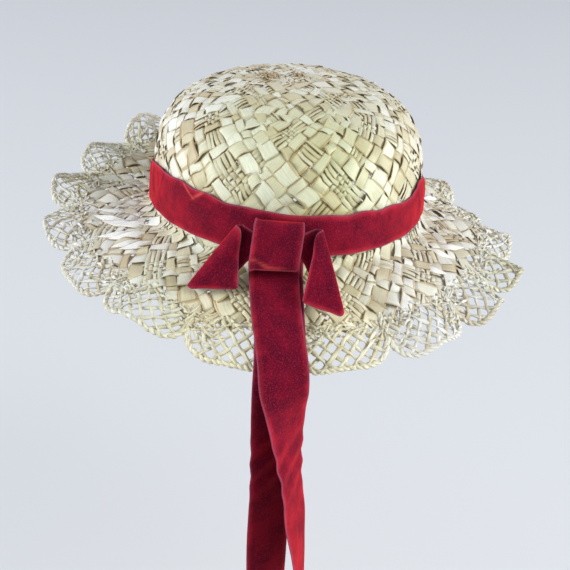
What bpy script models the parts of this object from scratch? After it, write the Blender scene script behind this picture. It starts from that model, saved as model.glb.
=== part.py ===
# A round-crowned straw hat with a scalloped, pierced brim, a velvet ribbon round the crown,
# and a flat bow at the back whose two streamers hang below the brim.
# Values are millimetres and degrees, and become metres as each mesh is made.
# Frame: origin at the centre of the head opening, +Z up through the crown, the bow at -Y.
# An azimuth is counted from +X, anticlockwise seen from above.

import math
from collections import namedtuple

import bpy
from mathutils import Vector

MM = 0.001
GAP = 0.35  # air between two pieces that touch on the real hat

# Crown
CROWN_HALF_X = 83.0  # outer half width at the brim line, ear to ear
CROWN_HALF_Y = 101.0  # outer half length at the brim line, back to front
CROWN_HEIGHT = 82.0
CROWN_FOOT = -1.5  # lower edge of the wall
WALL_POWER = 4.5  # how long the wall stays upright before it rounds over
SHOULDER_POWER = 2.4  # how square the shoulder is
STRAW_WALL = 2.0
CROWN_RINGS = 9
CROWN_SIDES = 44

# Brim, measured along its slope from the crown wall
BRIM_START = 1.6
BRIM_LEVEL = -0.5  # height of the brim's middle layer, without its rise to the crown
FOOT_RISE = 4.5  # how far the brim sweeps up against the crown wall
FOOT_LENGTH = 2.2  # the distance over which most of that rise is lost
LACE_START = 41.0  # where the close weave ends and the pierced border begins
NOTCH_REACH = 50.0  # how far out the border stands between two scallops
NOTCH_GAP = 0.6
FULL_REACH = 66.0  # the reach that the droop of a row belongs to
DROOP_CURVE = 1.3  # above 1, the brim leaves the crown flatter than it ends
SCALLOP_POWER = 2.4
BRIM_RINGS = (0.0, 0.06, 0.17, 0.42, 0.7, 1.0)  # shares of the way from the crown to the border
BRIM_SIDES_PER_SCALLOP = 5

# One row per scallop: where it points, how far the brim falls there (negative where it is
# turned up), how high its middle stands above its notches, and how far out it reaches.
Scallop = namedtuple("Scallop", "azimuth droop flute reach")
SCALLOPS = [
    Scallop(-16.0, 20.0, 6.0, 71.0),
    Scallop(5.0, 21.0, 7.0, 66.0),
    Scallop(26.0, 25.0, 5.0, 64.0),
    Scallop(43.0, 15.0, 4.0, 66.0),
    Scallop(65.0, 5.0, 4.0, 66.0),
    Scallop(88.0, -4.0, 4.0, 66.0),
    Scallop(111.0, -13.0, 4.0, 66.0),
    Scallop(134.0, -17.0, 3.0, 66.0),
    Scallop(152.0, -6.0, 4.0, 66.0),
    Scallop(172.0, 0.0, 4.0, 67.0),
    Scallop(193.0, 9.0, 4.0, 67.0),
    Scallop(212.0, 22.0, 3.0, 66.0),
    Scallop(236.0, 25.0, 4.0, 65.0),
    Scallop(259.0, 44.0, 3.0, 66.0),
    Scallop(286.0, 44.0, 3.0, 66.0),
    Scallop(310.0, 34.0, 4.0, 68.0),
    Scallop(329.0, 25.0, 6.0, 70.0),
]

# Pierced border of one scallop: a net of cells, some of them left open
NET_COLUMNS = 9
NET_ROWS = 5
OPEN_CELLS = {1: (2, 4, 6), 3: (1, 3, 5, 7)}  # row of the net: its open columns

# Ribbon
RIBBON_WALL = 1.5
RIBBON_WIDTH = 28.0

# Ribbon round the crown. It lies higher at the left, and a row gives the heights of its two edges
# at one azimuth. A ring is a share of the way up, and how far its middle stands off the wall.
BandEdge = namedtuple("BandEdge", "azimuth lower upper")
BAND_EDGES = [
    BandEdge(2.0, 4.4, 23.2),
    BandEdge(60.0, 4.3, 29.6),
    BandEdge(110.0, 4.3, 29.8),
    BandEdge(172.0, 4.4, 24.0),
    BandEdge(206.0, 8.2, 34.3),
    BandEdge(224.0, 7.9, 34.6),
    BandEdge(256.0, 6.6, 30.6),
    BandEdge(276.0, 5.9, 28.6),
    BandEdge(300.0, 5.2, 27.8),
    BandEdge(330.0, 5.6, 26.0),
    BandEdge(340.0, 6.6, 31.8),
]
BandRing = namedtuple("BandRing", "share stand_off")
BAND_RINGS = [BandRing(0.0, 1.3), BandRing(0.2, 1.1), BandRing(0.7, 1.0), BandRing(1.0, 0.7)]
BAND_SIDES = 60

# Knot: a loop of ribbon round the middle of the bow
KNOT_CENTRE = Vector((-3.2, -113.0, 15.7))
KNOT_HALF_WIDTH = 13.9
KNOT_HALF_HEIGHT = 13.5
KNOT_HALF_DEPTH = 4.2
KNOT_CORNER = 2.6
KNOT_BULGE = 0.8  # how much fuller the loop is at its middle
KNOT_CORNER_STEPS = 3

# Folded ends of the bow, a row per crossing of the ribbon from its inner edge to its outer edge.
# The ribbon leaves the knot, turns over along a slanting fold, and ends in a level cut.
TailRow = namedtuple("TailRow", "inner_x inner_y inner_z outer_x outer_y outer_z")
LEFT_TAIL = [
    TailRow(-4.5, -112.6, 22.0, -4.5, -112.6, 9.0),
    TailRow(-16.0, -112.2, 22.5, -16.0, -112.2, 8.0),
    TailRow(-21.4, -109.0, 24.0, -27.0, -113.0, -3.0),
    TailRow(-24.6, -108.0, 24.4, -50.2, -113.8, -9.4),
    TailRow(-26.2, -110.8, 25.0, -51.9, -115.6, -10.4),
    TailRow(-24.2, -113.8, 24.6, -50.7, -117.2, -10.8),
    TailRow(-24.0, -116.4, 10.4, -42.0, -118.2, -10.4),
    TailRow(-23.8, -118.6, -2.4, -33.2, -119.2, -9.8),
    TailRow(-23.6, -120.3, -7.8, -25.6, -120.3, -9.0),
]
RIGHT_TAIL = [
    TailRow(-1.5, -112.6, 22.0, -1.5, -112.6, 9.0),
    TailRow(10.2, -112.2, 22.8, 10.2, -112.2, 7.0),
    TailRow(15.2, -109.4, 24.2, 15.2, -112.6, -1.0),
    TailRow(18.8, -109.6, 25.0, 31.4, -127.8, -11.2),
    TailRow(20.6, -111.9, 25.4, 34.6, -132.6, -14.2),
    TailRow(18.2, -113.8, 24.6, 33.8, -134.3, -15.0),
    TailRow(16.0, -118.6, 12.6, 26.6, -133.0, -14.0),
    TailRow(13.6, -124.2, 0.2, 19.2, -131.0, -12.9),
    TailRow(11.8, -128.2, -9.8, 13.0, -129.0, -11.4),
]

# Streamers. Each starts behind the knot, rests on the brim at a few distances along its slope,
# and hangs from its edge. A row is the middle of the ribbon and how far it is turned about its
# length, with the left edge coming forward.
RestRow = namedtuple("RestRow", "x distance turn")
HangRow = namedtuple("HangRow", "x y z turn")
Streamer = namedtuple("Streamer", "starts lift rests hangs")
FRONT_STREAMER = Streamer(
    starts=[HangRow(-4.6, -106.7, 12.0, 0.0), HangRow(-4.6, -106.8, 2.4, 0.0)],
    lift=4.2,
    rests=[
        RestRow(-4.5, 11.0, 0.0),
        RestRow(-3.8, 20.0, 0.0),
        RestRow(-2.6, 30.0, 0.0),
        RestRow(-0.8, 41.0, 0.0),
        RestRow(1.4, 50.0, 0.0),
        RestRow(3.2, 60.0, 2.0),
    ],
    hangs=[
        HangRow(4.8, -155.4, -53.0, 18.0),
        HangRow(6.4, -154.6, -65.0, 40.0),
        HangRow(9.0, -152.8, -88.0, 59.0),
        HangRow(12.2, -152.8, -111.0, 68.0),
        HangRow(15.0, -152.8, -131.0, 68.0),
        HangRow(17.6, -152.8, -150.0, 77.0),
        HangRow(20.2, -152.8, -177.0, 82.0),
    ],
)
BACK_STREAMER = Streamer(
    starts=[HangRow(-2.5, -104.6, 12.0, 0.0), HangRow(-2.5, -104.7, 1.6, 0.0)],
    lift=2.5,
    rests=[
        RestRow(-2.4, 11.0, 0.0),
        RestRow(-1.8, 20.0, 0.0),
        RestRow(-1.0, 30.0, 0.0),
        RestRow(0.2, 41.0, 0.0),
        RestRow(0.9, 50.0, 0.0),
        RestRow(1.2, 60.0, 2.0),
    ],
    hangs=[
        HangRow(0.8, -149.6, -54.0, 12.0),
        HangRow(-0.4, -148.4, -68.0, 30.0),
        HangRow(-0.8, -147.6, -88.0, 38.0),
        HangRow(-0.7, -147.0, -115.0, 40.0),
        HangRow(-0.2, -147.0, -150.0, 38.0),
        HangRow(0.1, -147.0, -177.0, 40.0),
    ],
)
STREAMER_AZIMUTH = 270.0
LIFT_GAIN = 0.03  # the streamers rise from the brim by this share of the distance

STRAW_COLOUR = (0.80, 0.74, 0.56, 1.0)
LACE_COLOUR = (0.72, 0.62, 0.42, 1.0)
VELVET_COLOUR = (0.42, 0.015, 0.035, 1.0)


def clear_scene():
    for old in list(bpy.data.objects):
        bpy.data.objects.remove(old, do_unlink=True)


def make_material(name, colour, roughness):
    material = bpy.data.materials.new(name)
    material.use_nodes = True
    shader = material.node_tree.nodes["Principled BSDF"]
    shader.inputs["Base Color"].default_value = colour
    shader.inputs["Roughness"].default_value = roughness
    shader.inputs["Metallic"].default_value = 0.0
    return material


def make_sheet(name, grid, wall, material, side=0.0, around=False, top=None, open_cells=None):
    """One object from a grid of points in millimetres, thickened to its wall.

    side is -1 to thicken inwards and 0 to thicken both ways. around joins the last column to the
    first, top closes the last row to a point, and open_cells names the cells that stay open.
    """
    rows, columns = len(grid), len(grid[0])
    points = [point * MM for row in grid for point in row]
    faces = []
    for i in range(rows - 1):
        for j in range(columns if around else columns - 1):
            if open_cells and j in open_cells.get(i, ()):
                continue
            k = (j + 1) % columns
            faces.append((i * columns + j, i * columns + k, (i + 1) * columns + k, (i + 1) * columns + j))
    if top is not None:
        points.append(top * MM)
        last = (rows - 1) * columns
        faces += [(last + j, last + (j + 1) % columns, len(points) - 1) for j in range(columns)]
    mesh = bpy.data.meshes.new(name)
    mesh.from_pydata(points, [], faces)
    mesh.shade_smooth()
    piece = bpy.data.objects.new(name, mesh)
    bpy.context.scene.collection.objects.link(piece)
    piece.data.materials.append(material)
    solidify = piece.modifiers.new("Wall", "SOLIDIFY")
    solidify.thickness = wall * MM
    solidify.offset = side
    solidify.use_even_offset = True
    solidify.use_quality_normals = True
    return piece


def wall_point(azimuth, stand_off, height):
    """A point at a distance straight out from the foot of the crown wall."""
    turn = math.radians(azimuth)
    out = Vector((CROWN_HALF_Y * math.cos(turn), CROWN_HALF_X * math.sin(turn), 0.0)).normalized()
    foot = Vector((CROWN_HALF_X * math.cos(turn), CROWN_HALF_Y * math.sin(turn), height))
    return foot + out * stand_off


def crown_point(azimuth, rise):
    """The outer surface of the crown, from its wall at rise 0 to its top at rise 90."""
    lift = math.radians(rise)
    height = CROWN_HEIGHT * math.sin(lift) ** (2 / WALL_POWER)
    share = math.cos(lift) ** (2 / SHOULDER_POWER)
    foot = wall_point(azimuth, 0.0, height)
    return Vector((foot.x * share, foot.y * share, height))


def between_rows(rows, azimuth):
    """The rows on either side of an azimuth, and how far it lies from the first to the second."""
    for row, after in zip(rows, rows[1:] + rows[:1]):
        span = (after.azimuth - row.azimuth) % 360
        past = (azimuth - row.azimuth) % 360
        if past <= span:
            return row, after, past / span
    raise ValueError(azimuth)


def brim_point(azimuth, distance):
    """The middle layer of the brim, at a distance along its slope from the crown."""
    row, after, past = between_rows(SCALLOPS, azimuth)
    ease = (1 - math.cos(math.pi * past)) / 2
    droop = math.radians(row.droop + (after.droop - row.droop) * ease)
    flute = row.flute + (after.flute - row.flute) * ease
    share = distance / FULL_REACH
    fall = FULL_REACH * math.sin(droop) * share**DROOP_CURVE
    wave = flute * share**2 * math.cos(2 * math.pi * past)
    foot = FOOT_RISE * math.exp(-distance / FOOT_LENGTH)
    return wall_point(azimuth, distance * math.cos(droop), BRIM_LEVEL + foot - fall + wave)


def make_crown(straw):
    rises = [90 * i / CROWN_RINGS for i in range(CROWN_RINGS)]
    azimuths = [360 * j / CROWN_SIDES for j in range(CROWN_SIDES)]
    foot = [wall_point(azimuth, 0.0, CROWN_FOOT) for azimuth in azimuths]
    rings = [[crown_point(azimuth, rise) for azimuth in azimuths] for rise in rises[1:]]
    top = Vector((0.0, 0.0, CROWN_HEIGHT))
    return make_sheet("crown", [foot] + rings, STRAW_WALL, straw, side=-1.0, around=True, top=top)


def scallop_edges(index):
    """The azimuths of the notches before and after one scallop."""
    before, row = SCALLOPS[index - 1], SCALLOPS[index]
    after = SCALLOPS[(index + 1) % len(SCALLOPS)]
    low = row.azimuth - ((row.azimuth - before.azimuth) % 360) / 2
    high = row.azimuth + ((after.azimuth - row.azimuth) % 360) / 2
    return low, high


def make_brim(straw):
    azimuths = []
    for index in range(len(SCALLOPS)):
        low, high = scallop_edges(index)
        steps = BRIM_SIDES_PER_SCALLOP
        azimuths += [low + (high - low) * step / steps for step in range(steps)]
    reaches = [BRIM_START + (LACE_START - BRIM_START) * share for share in BRIM_RINGS]
    grid = [[brim_point(azimuth, reach) for azimuth in azimuths] for reach in reversed(reaches)]
    return make_sheet("brim", grid, STRAW_WALL, straw, around=True)


def make_scallop(index, lace):
    low, high = scallop_edges(index)
    reach = SCALLOPS[index].reach
    turn_gap = math.degrees(NOTCH_GAP / (2 * (CROWN_HALF_X + LACE_START)))
    low, high = low + turn_gap, high - turn_gap
    start = LACE_START + GAP
    grid = []
    for i in range(NET_ROWS + 1):
        row = []
        for j in range(NET_COLUMNS + 1):
            across = abs(2 * j / NET_COLUMNS - 1)
            edge = NOTCH_REACH + (reach - NOTCH_REACH) * math.sqrt(max(0.0, 1 - across**SCALLOP_POWER))
            distance = start + (edge - start) * i / NET_ROWS
            row.append(brim_point(low + (high - low) * j / NET_COLUMNS, distance))
        grid.append(row[::-1])
    return make_sheet(f"scallop_{index + 1:02d}", grid, STRAW_WALL, lace, open_cells=OPEN_CELLS)


def band_point(azimuth, ring):
    """A point of the band's middle layer, between the heights of its two edges."""
    row, after, past = between_rows(BAND_EDGES, azimuth)
    ease = (1 - math.cos(math.pi * past)) / 2
    lower = row.lower + (after.lower - row.lower) * ease
    upper = row.upper + (after.upper - row.upper) * ease
    return wall_point(azimuth, ring.stand_off, lower + (upper - lower) * ring.share)


def make_band(velvet):
    azimuths = [360 * j / BAND_SIDES for j in range(BAND_SIDES)]
    grid = [[band_point(azimuth, ring) for azimuth in azimuths] for ring in BAND_RINGS]
    return make_sheet("band", grid, RIBBON_WALL, velvet, around=True)


def knot_section(swell):
    """A closed upright section of the loop, as points in Y and Z about its centre."""
    half_depth, half_height = KNOT_HALF_DEPTH + swell, KNOT_HALF_HEIGHT
    section = []
    for corner in range(4):
        side_y = 1 if corner in (0, 3) else -1
        side_z = 1 if corner in (0, 1) else -1
        for step in range(KNOT_CORNER_STEPS + 1):
            turn = math.radians(90 * (corner + step / KNOT_CORNER_STEPS))
            y = side_y * (half_depth - KNOT_CORNER) + KNOT_CORNER * math.cos(turn)
            z = side_z * (half_height - KNOT_CORNER) + KNOT_CORNER * math.sin(turn)
            section.append((y, z))
    return section


def make_knot(velvet):
    grid = []
    for across in (-1.0, -0.5, 0.0, 0.5, 1.0):
        swell = KNOT_BULGE * (1 - across**2)
        section = knot_section(swell)
        grid.append([KNOT_CENTRE + Vector((across * KNOT_HALF_WIDTH, y, z)) for y, z in section])
    return make_sheet("knot", grid, RIBBON_WALL, velvet, side=-1.0, around=True)


def make_tail(name, rows, velvet):
    grid = [
        [Vector((row.inner_x, row.inner_y, row.inner_z)), Vector((row.outer_x, row.outer_y, row.outer_z))]
        for row in rows
    ]
    return make_sheet(name, grid, RIBBON_WALL, velvet)


def resting_row(row, lift):
    """A streamer's crossing where it rests on the brim, as a row like those where it hangs."""
    here = brim_point(STREAMER_AZIMUTH, row.distance)
    further = brim_point(STREAMER_AZIMUTH, row.distance + 1.0)
    slope = (further - here).normalized()
    place = here + Vector((0.0, slope.z, -slope.y)) * (lift + LIFT_GAIN * row.distance)
    return HangRow(row.x, place.y, place.z, row.turn)


def make_streamer(name, streamer, velvet):
    rests = [resting_row(row, streamer.lift) for row in streamer.rests]
    grid = []
    for row in streamer.starts + rests + streamer.hangs:
        turn = math.radians(row.turn)
        half = Vector((math.cos(turn), math.sin(turn), 0.0)) * (RIBBON_WIDTH / 2)
        middle = Vector((row.x, row.y, row.z))
        grid.append([middle - half, middle, middle + half])
    return make_sheet(name, grid, RIBBON_WALL, velvet)


def main():
    clear_scene()
    make_crown(make_material("crown_straw", STRAW_COLOUR, 0.55))
    make_brim(make_material("brim_straw", STRAW_COLOUR, 0.55))
    lace = make_material("lace_straw", LACE_COLOUR, 0.6)
    for index in range(len(SCALLOPS)):
        make_scallop(index, lace)
    make_band(make_material("band_velvet", VELVET_COLOUR, 0.9))
    make_knot(make_material("knot_velvet", VELVET_COLOUR, 0.9))
    bow = make_material("bow_velvet", VELVET_COLOUR, 0.9)
    make_tail("left_tail", LEFT_TAIL, bow)
    make_tail("right_tail", RIGHT_TAIL, bow)
    make_streamer("streamer_front", FRONT_STREAMER, bow)
    make_streamer("streamer_back", BACK_STREAMER, bow)


main()
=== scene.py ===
import math

import bpy
import numpy as np
from mathutils import Matrix, Vector


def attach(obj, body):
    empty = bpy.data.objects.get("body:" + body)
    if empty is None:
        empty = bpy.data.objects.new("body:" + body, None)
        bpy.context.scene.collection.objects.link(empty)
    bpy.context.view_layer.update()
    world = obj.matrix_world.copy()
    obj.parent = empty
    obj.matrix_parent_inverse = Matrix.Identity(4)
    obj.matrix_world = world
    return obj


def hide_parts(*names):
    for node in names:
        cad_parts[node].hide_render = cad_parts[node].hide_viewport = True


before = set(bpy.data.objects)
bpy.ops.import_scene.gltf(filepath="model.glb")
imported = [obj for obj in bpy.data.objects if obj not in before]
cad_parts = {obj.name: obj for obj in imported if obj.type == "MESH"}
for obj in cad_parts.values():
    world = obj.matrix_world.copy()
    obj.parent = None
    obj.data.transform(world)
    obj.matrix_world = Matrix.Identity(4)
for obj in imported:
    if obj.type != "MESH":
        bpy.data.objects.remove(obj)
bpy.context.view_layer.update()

print("frame loaded")

# Sizes of the hat, the same as its solids, in metres and degrees
hat = {
    "halfX": 0.083,
    "halfY": 0.101,
    "height": 0.082,
    "wallPower": 4.5,
    "shoulderPower": 2.4,
    "brimLevel": -0.0005,
    "footRise": 0.0045,
    "footLength": 0.0022,
    "laceStart": 0.041,
    "notchReach": 0.050,
    "fullReach": 0.066,
    "droopCurve": 1.3,
    "scallopPower": 2.4,
}

# azimuth, droop, flute and reach of each scallop
scallops = np.array([
    (-16, 20, 0.006, 0.071),
    (5, 21, 0.007, 0.066),
    (26, 25, 0.005, 0.064),
    (43, 15, 0.004, 0.066),
    (65, 5, 0.004, 0.066),
    (88, -4, 0.004, 0.066),
    (111, -13, 0.004, 0.066),
    (134, -17, 0.003, 0.066),
    (152, -6, 0.004, 0.066),
    (172, 0, 0.004, 0.067),
    (193, 9, 0.004, 0.067),
    (212, 22, 0.003, 0.066),
    (236, 25, 0.004, 0.065),
    (259, 44, 0.003, 0.066),
    (286, 44, 0.003, 0.066),
    (310, 34, 0.004, 0.068),
    (329, 25, 0.006, 0.070),
], dtype=float)


def unit(vectors):
    return vectors / np.maximum(np.linalg.norm(vectors, axis=-1, keepdims=True), 1e-12)


def moved(points, direction, amount):
    return points + direction * amount[:, None]


def wallPoint(azimuth, standOff, height):
    turn = np.radians(azimuth)
    flat = 0 * turn
    out = unit(np.stack([hat["halfY"] * np.cos(turn), hat["halfX"] * np.sin(turn), flat], -1))
    foot = np.stack([hat["halfX"] * np.cos(turn), hat["halfY"] * np.sin(turn), height + flat], -1)
    return foot + out * (standOff + flat)[..., None]


def crownPoint(azimuth, rise):
    lift = np.radians(rise)
    height = hat["height"] * np.sin(lift) ** (2 / hat["wallPower"])
    share = np.abs(np.cos(lift)) ** (2 / hat["shoulderPower"])
    return wallPoint(azimuth, 0.0, height) * np.stack([share, share, 0 * share + 1], -1)


def crownNormal(points):
    x, y = points[:, 0] / hat["halfX"], points[:, 1] / hat["halfY"]
    share = np.maximum(np.hypot(x, y), 1e-6)
    side = hat["shoulderPower"] * share ** (hat["shoulderPower"] - 2)
    top = hat["wallPower"] * np.clip(points[:, 2] / hat["height"], 0, 1) ** (hat["wallPower"] - 1)
    return unit(np.stack([side * x / hat["halfX"], side * y / hat["halfY"], top / hat["height"]], -1))


# a table's values between its rows, and how far past the row before each azimuth lies
def betweenRows(rows, azimuth):
    places = np.append(rows[:, 0], rows[0, 0] + 360)
    turned = (azimuth - places[0]) % 360 + places[0]
    before = np.clip(np.searchsorted(places, turned, "right") - 1, 0, len(rows) - 1)
    past = (turned - places[before]) / (places[before + 1] - places[before])
    ease = ((1 - np.cos(np.pi * past)) / 2)[..., None]
    return rows[before] * (1 - ease) + rows[(before + 1) % len(rows)] * ease, past


def brimPoint(azimuth, distance):
    azimuth, distance = np.broadcast_arrays(np.asarray(azimuth, float), np.asarray(distance, float))
    row, past = betweenRows(scallops, azimuth)
    droop, flute = np.radians(row[..., 1]), row[..., 2]
    share = np.maximum(distance, 0) / hat["fullReach"]
    fall = hat["fullReach"] * np.sin(droop) * share ** hat["droopCurve"]
    wave = flute * share**2 * np.cos(2 * np.pi * past)
    foot = hat["footRise"] * np.exp(-np.maximum(distance, 0) / hat["footLength"])
    return wallPoint(azimuth, distance * np.cos(droop), hat["brimLevel"] + foot - fall + wave)


def brimNormal(azimuth, distance):
    along = brimPoint(azimuth + 0.2, distance) - brimPoint(azimuth - 0.2, distance)
    outward = brimPoint(azimuth, distance + 0.0005) - brimPoint(azimuth, distance - 0.0005)
    return unit(np.cross(outward, along))


# a gentle shift along the surface that neighbouring strands share, as in a weave made by hand
def drift(points, normals, size, length):
    waves = np.array([(1.0, 0.3, -0.5), (-0.4, 1.0, 0.6), (0.7, -0.6, 1.0)]) * 2 * np.pi / length
    shift = np.zeros_like(points)
    for index, wave in enumerate(waves):
        phase = points @ wave
        shift[:, index] = np.sin(phase + index) + 0.6 * np.sin(2.3 * phase + 2 * index + 1)
    shift -= 0.85 * normals * np.sum(shift * normals, axis=1, keepdims=True)
    return points + shift * size


# Straw strands. Each is a line of points with a few values of its own, which one node tree sweeps.
def newStrand(points, normals, half, thick, tint, shade):
    count = len(points)
    steps = np.linalg.norm(np.diff(points, axis=0), axis=1)
    return {
        "points": points,
        "normals": normals,
        "half": np.broadcast_to(half, count).astype(float),
        "thick": np.broadcast_to(thick, count).astype(float),
        "tint": np.full(count, tint),
        "shade": shade.astype(float),
        "along": np.append(0, np.cumsum(steps)),
    }


# normals that turn about the strand as it goes, as a twisted straw does
def twisted(points, normals, turn, angle):
    tangent = unit(np.gradient(points, axis=0))
    side = unit(np.cross(tangent, normals))
    swing = (angle * np.sin(turn))[:, None]
    return unit(normals * np.cos(swing) + side * np.sin(swing))


def addObject(name, data):
    item = bpy.data.objects.new(name, data)
    bpy.context.scene.collection.objects.link(item)
    return item


def storeValues(mesh, key, values):
    if key not in mesh.attributes:
        mesh.attributes.new(key, "FLOAT", "POINT")
    mesh.attributes[key].data.foreach_set("value", np.asarray(values, np.float32).ravel())


def valuesOf(piece, key):
    return np.array([item.value for item in piece.data.attributes[key].data])


def socket(tree, name, kind, inward=True):
    return tree.interface.new_socket(name, in_out="INPUT" if inward else "OUTPUT", socket_type=kind)


# each input, by name or number, is set to a value or joined to another node's output
def wire(node, inputs):
    for name, value in inputs.items():
        if isinstance(value, bpy.types.NodeSocket):
            node.id_data.links.new(value, node.inputs[name])
        else:
            node.inputs[name].default_value = value


def addNode(tree, kind, inputs, **settings):
    node = tree.nodes.new(kind)
    for name, value in settings.items():
        setattr(node, name, value)
    wire(node, inputs)
    return node.outputs


def treeOf(values):
    return next(value.id_data for value in values if isinstance(value, bpy.types.NodeSocket))


def mathNode(operation, *values, clamp=False):
    inputs = dict(enumerate(values))
    return addNode(treeOf(values), "ShaderNodeMath", inputs, operation=operation, use_clamp=clamp)["Value"]


def named(tree, name, kind="FLOAT"):
    return addNode(tree, "GeometryNodeInputNamedAttribute", {"Name": name}, data_type=kind)["Attribute"]


def makeSweepTree():
    tree = bpy.data.node_groups.new("sweepStrands", "GeometryNodeTree")
    socket(tree, "Strands", "NodeSocketGeometry")
    socket(tree, "Section Sides", "NodeSocketInt").default_value = 6
    socket(tree, "Edge Power", "NodeSocketFloat").default_value = 1.0
    socket(tree, "Finish", "NodeSocketMaterial")
    socket(tree, "Swept", "NodeSocketGeometry", inward=False)

    def step(kind, inputs, **settings):
        return addNode(tree, "GeometryNode" + kind, inputs, **settings)[0]

    given = addNode(tree, "NodeGroupInput", {})
    sides = given["Section Sides"]
    lie = named(tree, "lie", "FLOAT_VECTOR")
    curve = step("MeshToCurve", {"Mesh": given["Strands"]})
    curve = step("SetCurveNormal", {"Curve": curve, "Normal": lie}, mode="FREE")
    circle = step("CurvePrimitiveCircle", {"Radius": 1.0, "Resolution": sides})
    # half a step of turn gives the section a level top, and the power draws its edges thin
    turn = addNode(tree, "ShaderNodeCombineXYZ", {"Z": mathNode("DIVIDE", math.pi, sides)})["Vector"]
    section = step("Transform", {"Geometry": circle, "Rotation": turn})
    apart = addNode(tree, "ShaderNodeSeparateXYZ", {"Vector": step("InputPosition", {})})
    drawn = mathNode("POWER", mathNode("ABSOLUTE", apart["Y"]), given["Edge Power"])
    drawn = mathNode("MULTIPLY", drawn, mathNode("SIGN", apart["Y"]))
    for name, value in (("lift", apart["X"]), ("across", drawn)):
        inputs = {"Geometry": section, "Name": name, "Value": value}
        section = step("StoreNamedAttribute", inputs, data_type="FLOAT", domain="POINT")
    across = addNode(tree, "ShaderNodeCombineXYZ", {"Y": named(tree, "across")})["Vector"]
    section = step("SetPosition", {"Geometry": section, "Position": across})
    inputs = {"Curve": curve, "Profile Curve": section, "Scale": named(tree, "half"), "Fill Caps": True}
    swept = step("CurveToMesh", inputs)
    rise = mathNode("MULTIPLY", named(tree, "lift"), named(tree, "thick"))
    push = addNode(tree, "ShaderNodeVectorMath", {0: lie, "Scale": rise}, operation="SCALE")["Vector"]
    swept = step("SetPosition", {"Geometry": swept, "Offset": push})
    swept = step("SetShadeSmooth", {"Geometry": swept})
    swept = step("RealizeInstances", {"Geometry": swept})
    swept = step("SetMaterial", {"Geometry": swept, "Material": given["Finish"]})
    wire(tree.nodes.new("NodeGroupOutput"), {"Swept": swept})
    return tree


# the piece becomes a plain mesh, as its modifiers show it
def bake(piece):
    bpy.context.view_layer.update()
    seen = piece.evaluated_get(bpy.context.evaluated_depsgraph_get())
    mesh = bpy.data.meshes.new_from_object(seen)
    name = piece.name
    old = piece.data
    piece.modifiers.clear()
    piece.data = mesh
    bpy.data.meshes.remove(old)
    mesh.name = name


def sweepStrands(name, strands, finish, edgePower=1.0):
    edges, first = [], 0
    for strand in strands:
        line = np.arange(first, first + len(strand["points"]) - 1)
        edges.append(np.stack([line, line + 1], -1))
        first += len(strand["points"])
    joined = {key: np.concatenate([strand[key] for strand in strands]) for key in strands[0]}
    mesh = bpy.data.meshes.new(name)
    mesh.from_pydata(joined["points"], np.concatenate(edges), [])
    for key in ("half", "thick", "tint", "shade", "along"):
        storeValues(mesh, key, joined[key])
    lie = mesh.attributes.new("lie", "FLOAT_VECTOR", "POINT")
    lie.data.foreach_set("vector", joined["normals"].astype(np.float32).ravel())
    piece = addObject(name, mesh)
    modifier = piece.modifiers.new("Sweep", "NODES")
    modifier.node_group = sweepTree
    chosen = {"Section Sides": 6, "Edge Power": edgePower, "Finish": finish}
    for item in sweepTree.interface.items_tree:
        if item.name in chosen:
            modifier[item.identifier] = chosen[item.name]
    bake(piece)
    for spare in ("half", "thick", "lie", "lift"):
        if spare in piece.data.attributes:
            piece.data.attributes.remove(piece.data.attributes[spare])
    return piece


# How a strand passes a crossing. Heights are shares of its swing above or below the middle layer.
crossing = {
    "height": 1.12,  # over the middle of what it crosses
    "levelHeight": 0.96,  # between two crossings on the same side
    "shoulderHeight": 0.88,  # where a dive begins and ends
    "endHeight": 0.90,
    "diveShare": 0.55,  # the most of the way to a crossing that a dive takes
    "least": 1e-4,  # spots nearer than this are one
}


# Where a strand is sampled and its height there. places are its crossings, signs are 1 where it
# passes over and -1 where it passes under, and halves are the half widths of what it crosses.
def weaveHeights(places, signs, halves, dive, start, end):
    places, signs, halves = np.array(places), np.array(signs, float), np.array(halves)
    order = np.argsort(places)
    places, signs, halves = places[order], signs[order], halves[order]
    spots, heights = [start], [signs[0]]
    for k in range(len(places)):
        if places[k] - spots[-1] > crossing["least"]:
            spots.append(places[k])
            heights.append(signs[k] * crossing["height"])
        if k + 1 == len(places):
            break
        gap = places[k + 1] - places[k]
        if gap < crossing["least"]:
            continue
        edge = places[k] + gap * halves[k] / (halves[k] + halves[k + 1])
        if signs[k] == signs[k + 1]:
            spots.append(edge)
            heights.append(signs[k] * crossing["levelHeight"])
            continue
        share, shoulder = crossing["diveShare"], crossing["shoulderHeight"]
        reach = min(dive, share * (edge - places[k]), share * (places[k + 1] - edge))
        spots += [edge - reach, edge, edge + reach]
        heights += [signs[k] * shoulder, 0.0, signs[k + 1] * shoulder]
    if end - spots[-1] > crossing["least"]:
        spots.append(end)
        heights.append(signs[-1] * crossing["endHeight"])
    return np.array(spots), np.array(heights)


# What the two close weaves share. A strand is one flat straw or one of a bundle of thin ones.
weave = {
    "swing": 0.00052,  # how far a strand passes above or below the middle layer
    "flatThick": 0.00017,
    "thinThick": 0.00024,
    "bundle": 4,
    "bundleDrift": 0.025,
    "flatWidths": (0.88, 1.04),
    "thinTints": (0.35, 0.95),
    "flatTintPower": 1.3,
    "thinRoll": 0.30,
}


# the strands of a run of groups: their group, place in it, value and width, in units
def groupValues(look, groups, chance):
    shares = (look["bundleShare"],) + look["wideShares"]
    rows, value = [], 0.0
    for group in range(groups):
        share = shares[group % len(shares)]
        if group % len(shares) == 0:
            for member in range(look["bundle"]):
                middle = value + share * (member + 0.5) / look["bundle"]
                middle += chance.uniform(-1, 1) * share * look["bundleDrift"]
                rows.append((group, member, middle, share / look["bundle"], True))
        else:
            rows.append((group, -1, value + share / 2, share * chance.uniform(*look["flatWidths"]), False))
        value += share
    return rows


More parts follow.
